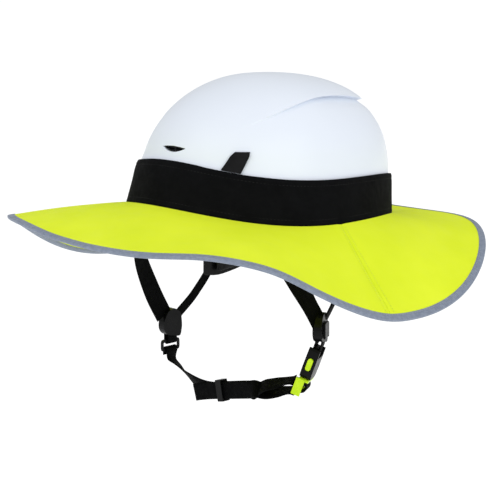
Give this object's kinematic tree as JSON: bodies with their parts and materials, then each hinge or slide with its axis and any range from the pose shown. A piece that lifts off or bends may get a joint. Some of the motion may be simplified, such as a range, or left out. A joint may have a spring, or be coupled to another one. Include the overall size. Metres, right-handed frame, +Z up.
{
  "type": "water helmet",
  "caption": "Adult water helmet with a hard shell, padded liner, wide pull-off sun brim, chin harness with side buckle, and a nape cradle tightened by a dial.",
  "frame": {"origin": "centre of the head opening, level with the lower edge of the brim's stretch band", "axes": "+Z up, -Y the front, +X the wearer's left"},
  "size_m": [0.4164, 0.4511, 0.3214],
  "materials": {
    "shell_white": "glossy",
    "liner_foam": "matt",
    "pad_foam": "brushed",
    "black_plastic": "satin",
    "band_stretch": "matt knit",
    "brim_fabric": "woven",
    "reflective_binding": "reflective",
    "webbing": "twill",
    "lime_plastic": "satin"
  },
  "bodies": {
    "helmet": {"outer_shell": "shell_white", "foam_liner": "liner_foam", "vent_insert_front": "black_plastic", "brow_pad": "pad_foam", "crown_pad": "pad_foam", "side_pad_left": "pad_foam", "side_pad_right": "pad_foam", "rear_pad": "pad_foam", "side_clip_left": "black_plastic", "strap_anchor_front_left": "black_plastic", "strap_anchor_front_right": "black_plastic", "strap_anchor_rear_left": "black_plastic", "strap_anchor_rear_right": "black_plastic", "front_strap_left": "webbing", "front_strap_right": "webbing", "rear_strap_left": "webbing", "rear_strap_right": "webbing", "divider_left": "black_plastic", "divider_right": "black_plastic", "lower_strap_left": "webbing", "lower_strap_right": "webbing", "chin_ring_right": "black_plastic", "chin_webbing": "webbing", "buckle_housing": "black_plastic", "adjuster_base": "black_plastic", "adjuster_cover": "black_plastic", "cradle_spine": "black_plastic", "nape_pad": "pad_foam"},
    "brim": {"brim_band": "band_stretch", "brim_panel_front": "brim_fabric", "brim_panel_rear": "brim_fabric", "edge_binding": "reflective_binding"},
    "dial": {"adjuster_dial": "black_plastic"},
    "arm_left": {"cradle_arm_left": "black_plastic", "arm_pad_left": "pad_foam"},
    "arm_right": {"cradle_arm_right": "black_plastic", "arm_pad_right": "pad_foam"},
    "plug": {"buckle_plug": "lime_plastic"},
    "button_front": {"release_button_front": "lime_plastic"},
    "button_rear": {"release_button_rear": "lime_plastic"},
    "flap_left": {"divider_flap_left": "black_plastic"},
    "flap_right": {"divider_flap_right": "black_plastic"},
    "keeper": {"strap_keeper": "black_plastic"}
  },
  "joints": [
    {"name": "brim_lift", "type": "slide", "parent": "helmet", "child": "brim", "axis": [0, 0, 1], "range_m": [0, 0.15]},
    {"name": "dial_turn", "type": "hinge", "parent": "helmet", "child": "dial", "pos_m": [0, 0.11985, -0.05], "axis": [0, -1, 0], "range_deg": [0, 92]},
    {"name": "arm_left_slide", "type": "slide", "parent": "helmet", "child": "arm_left", "axis": [-1, 0, 0], "range_m": [0, 0.006]},
    {"name": "arm_right_slide", "type": "slide", "parent": "helmet", "child": "arm_right", "axis": [1, 0, 0], "range_m": [0, 0.006]},
    {"name": "plug_pull", "type": "slide", "parent": "helmet", "child": "plug", "axis": [-0.302, -0.1606, -0.9397], "range_m": [0, 0.022], "deforming": ["chin_webbing"]},
    {"name": "button_front_press", "type": "slide", "parent": "helmet", "child": "button_front", "axis": [-0.4695, 0.8829, 0], "range_m": [0, 0.002], "stiffness_N_per_m": 300},
    {"name": "button_rear_press", "type": "slide", "parent": "helmet", "child": "button_rear", "axis": [0.4695, -0.8829, 0], "range_m": [0, 0.002], "stiffness_N_per_m": 300},
    {"name": "flap_left_open", "type": "hinge", "parent": "helmet", "child": "flap_left", "pos_m": [0.10297, -0.01686, -0.105], "axis": [-0.4695, 0.8829, 0], "range_deg": [0, 75]},
    {"name": "flap_right_open", "type": "hinge", "parent": "helmet", "child": "flap_right", "pos_m": [-0.10362, -0.031, -0.131], "axis": [0, -1, 0], "range_deg": [0, 75]},
    {"name": "keeper_slide", "type": "slide", "parent": "helmet", "child": "keeper", "axis": [0.9757, -0.0325, 0.2168], "range_m": [0, 0.03]}
  ],
  "couplings": [
    {"joint": "arm_left_slide", "follows": "dial_turn", "m_per_rad": 0.0037},
    {"joint": "arm_right_slide", "follows": "dial_turn", "m_per_rad": 0.0037}
  ]
}
